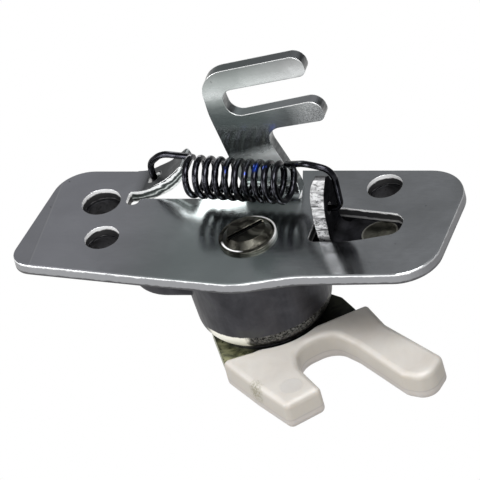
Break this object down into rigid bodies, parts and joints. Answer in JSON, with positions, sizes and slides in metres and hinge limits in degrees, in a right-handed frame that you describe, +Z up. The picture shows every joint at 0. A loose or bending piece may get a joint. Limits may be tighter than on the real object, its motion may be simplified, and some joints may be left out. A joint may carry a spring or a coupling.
{
  "type": "van side door lock",
  "caption": "Rotary claw lock for a sliding side door: pressed plate with bolt fork, spring-loaded pawl ear, deep housing and a plastic-covered claw.",
  "frame": {"origin": "on the claw's axis at the underside of the plate, where the lock seats on the door", "axes": "+Z up along the claw's axis, from the claw to the bolt fork; +X towards the slot and the open side of the fork; +Y from the claw's mouth side to the fork side"},
  "size_m": [0.1135, 0.0643, 0.0768],
  "materials": {
    "zinc_plate": "bright zinc plated pressing",
    "zinc_housing": "dull grey plated deep pressing",
    "bronze_bush": "sintered bronze",
    "dark_steel": "oiled dark steel",
    "shaft_steel": "turned and peened steel",
    "passivated_steel": "worn yellow passivated steel",
    "cream_nylon": "satin cream moulding",
    "ear_steel": "plated steel with scuffed edge",
    "spring_steel": "oiled spring wire"
  },
  "bodies": {
    "frame": {"base_plate": "zinc_plate", "housing": "zinc_housing", "upper_bush": "bronze_bush", "lower_bush": "bronze_bush", "weld_nut_rear_left": "dark_steel", "weld_nut_front_left": "dark_steel", "weld_nut_right": "dark_steel", "pawl_spring": "spring_steel", "return_spring": "spring_steel"},
    "claw": {"claw_shaft": "shaft_steel", "head_washer": "shaft_steel", "ratchet_disc": "dark_steel", "spacer_sleeve": "dark_steel", "claw_washer": "dark_steel", "claw_core": "passivated_steel", "claw_cover": "cream_nylon", "end_washer": "shaft_steel"},
    "pawl": {"pawl_slide": "dark_steel", "ear_bracket": "ear_steel", "ear_rivet": "shaft_steel"}
  },
  "joints": [
    {"name": "claw_turn", "type": "hinge", "parent": "frame", "child": "claw", "pos_m": [0, 0, 0], "axis": [0, 0, 1], "range_deg": [-40, 0], "stiffness_Nm_per_rad": 0.25, "springref_deg": 34.38, "deforming": ["return_spring"]},
    {"name": "pawl_draw", "type": "slide", "parent": "frame", "child": "pawl", "axis": [1, 0, 0], "range_m": [0, 0.007], "stiffness_N_per_m": 900, "springref_m": -0.01, "deforming": ["pawl_spring"]}
  ]
}
